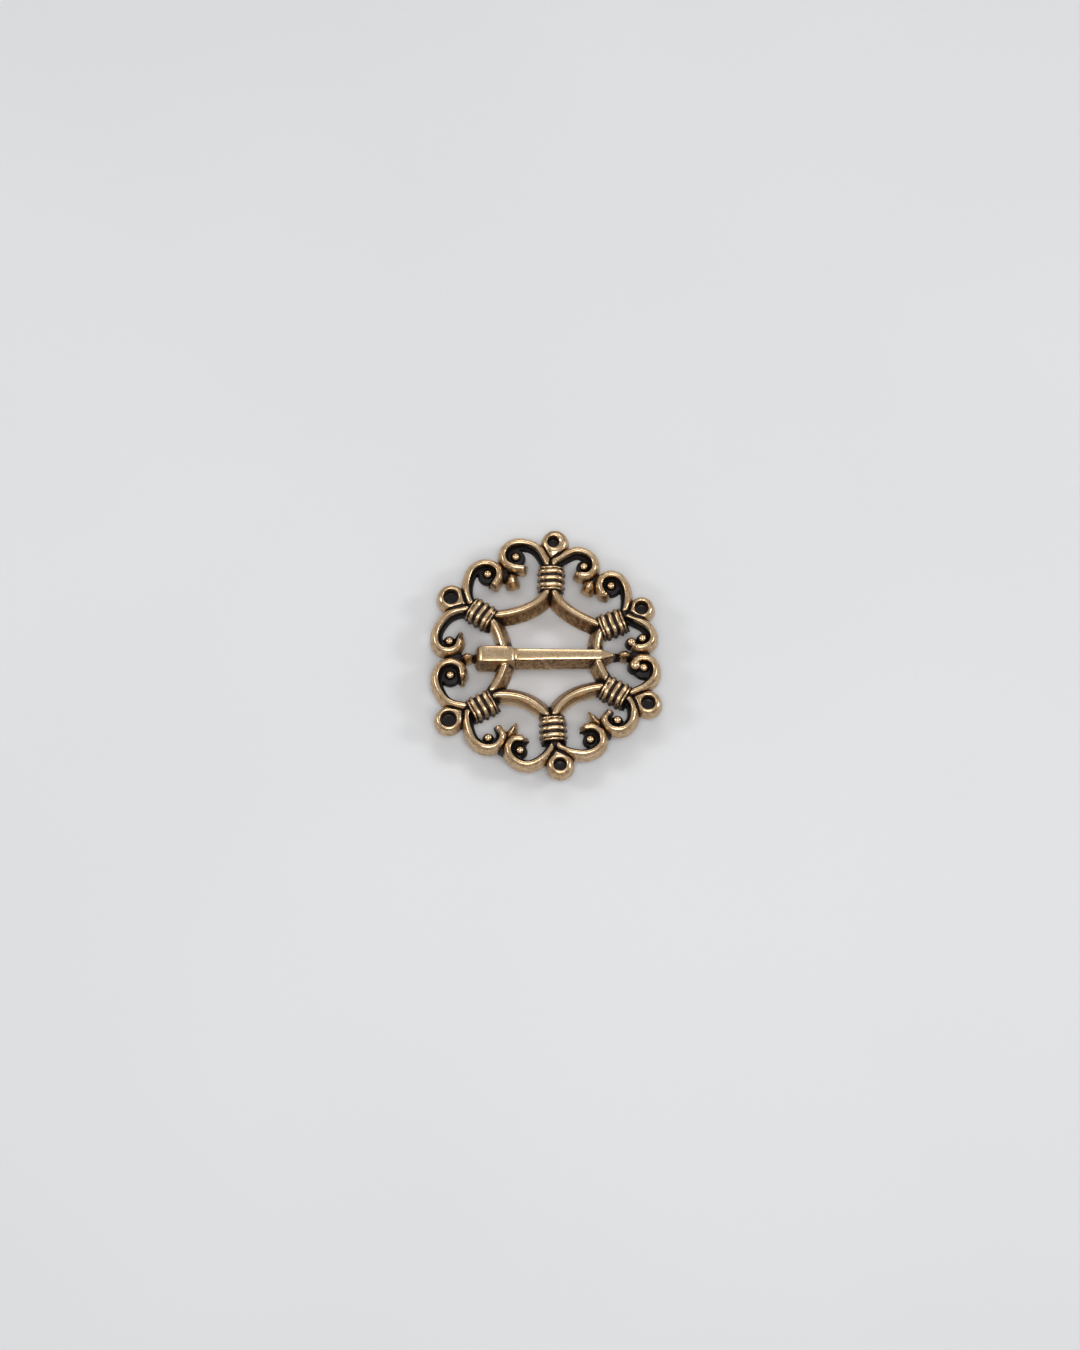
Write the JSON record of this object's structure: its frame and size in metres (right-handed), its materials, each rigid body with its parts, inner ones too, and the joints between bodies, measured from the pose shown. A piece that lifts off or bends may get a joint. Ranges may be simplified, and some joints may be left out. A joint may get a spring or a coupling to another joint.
{
  "type": "fibula brooch",
  "caption": "Cast bronze openwork brooch with scrolled lobes, eyes, bound collars and a front bar, and a hinged wire pin behind.",
  "frame": {"origin": "centre of the bounding box on the ground, under the feet of the pin's bracket and catch", "axes": "+X along the front bar from its head to its point, +Y towards the top eye, +Z out of the ornamented face"},
  "size_m": [0.0416, 0.0466, 0.0068],
  "materials": {
    "cast_bronze": "satin, dark patina in the recesses",
    "wire_bronze": "drawn wire, satin",
    "sheet_bronze": "dull, patinated"
  },
  "bodies": {
    "brooch": {"cast_frame": "cast_bronze", "hinge_bracket": "sheet_bronze", "hinge_rivet": "wire_bronze", "pin_catch": "sheet_bronze"},
    "pin": {"pin": "wire_bronze"}
  },
  "joints": [
    {"name": "pin_hinge", "type": "hinge", "parent": "brooch", "child": "pin", "pos_m": [-0.00943, -0.0008, 0.00135], "axis": [0, 1, 0], "range_deg": [0, 100]}
  ]
}
